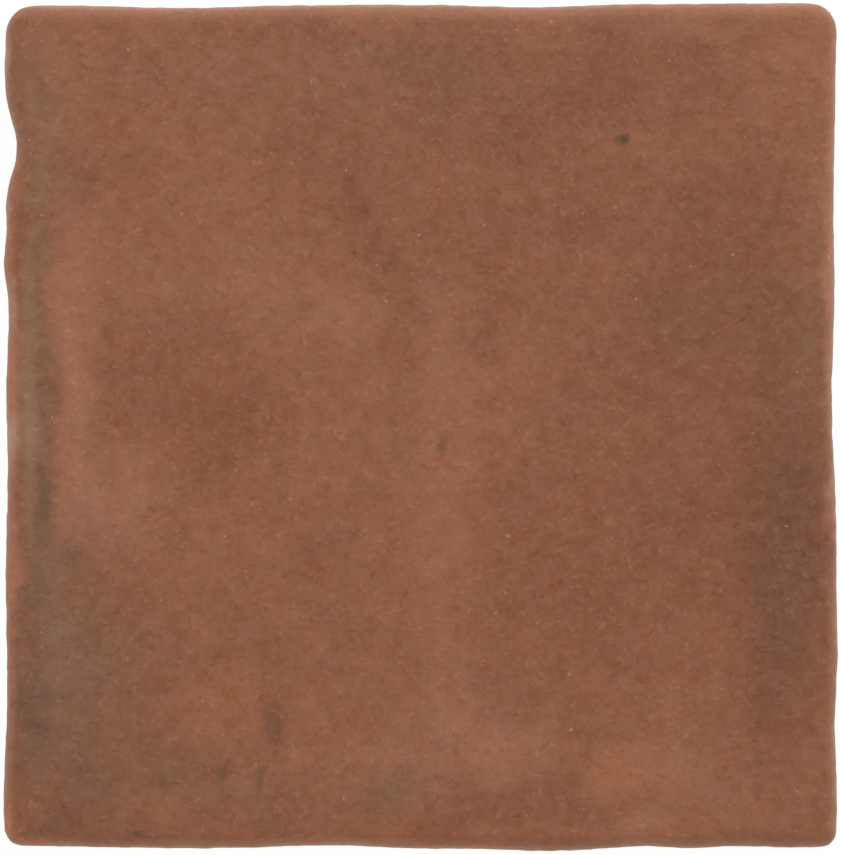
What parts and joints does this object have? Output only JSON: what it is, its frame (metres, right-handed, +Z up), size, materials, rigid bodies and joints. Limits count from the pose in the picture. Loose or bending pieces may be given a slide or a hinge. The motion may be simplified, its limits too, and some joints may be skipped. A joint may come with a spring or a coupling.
{
  "type": "square ceramic floor tile",
  "caption": "Square unglazed clay tile with a gently uneven face, soft wandering edges, rounded corners, a dent in one side and a keyed back.",
  "frame": {"origin": "middle of the back, on the floor that the tile lies on", "axes": "+Z up out of the face, +Y towards the north side, which is the picture's top, and +X towards its right"},
  "size_m": [0.1318, 0.134, 0.01],
  "materials": {
    "fired_clay": "matte"
  },
  "bodies": {
    "root": {"tile": "fired_clay"}
  },
  "joints": []
}
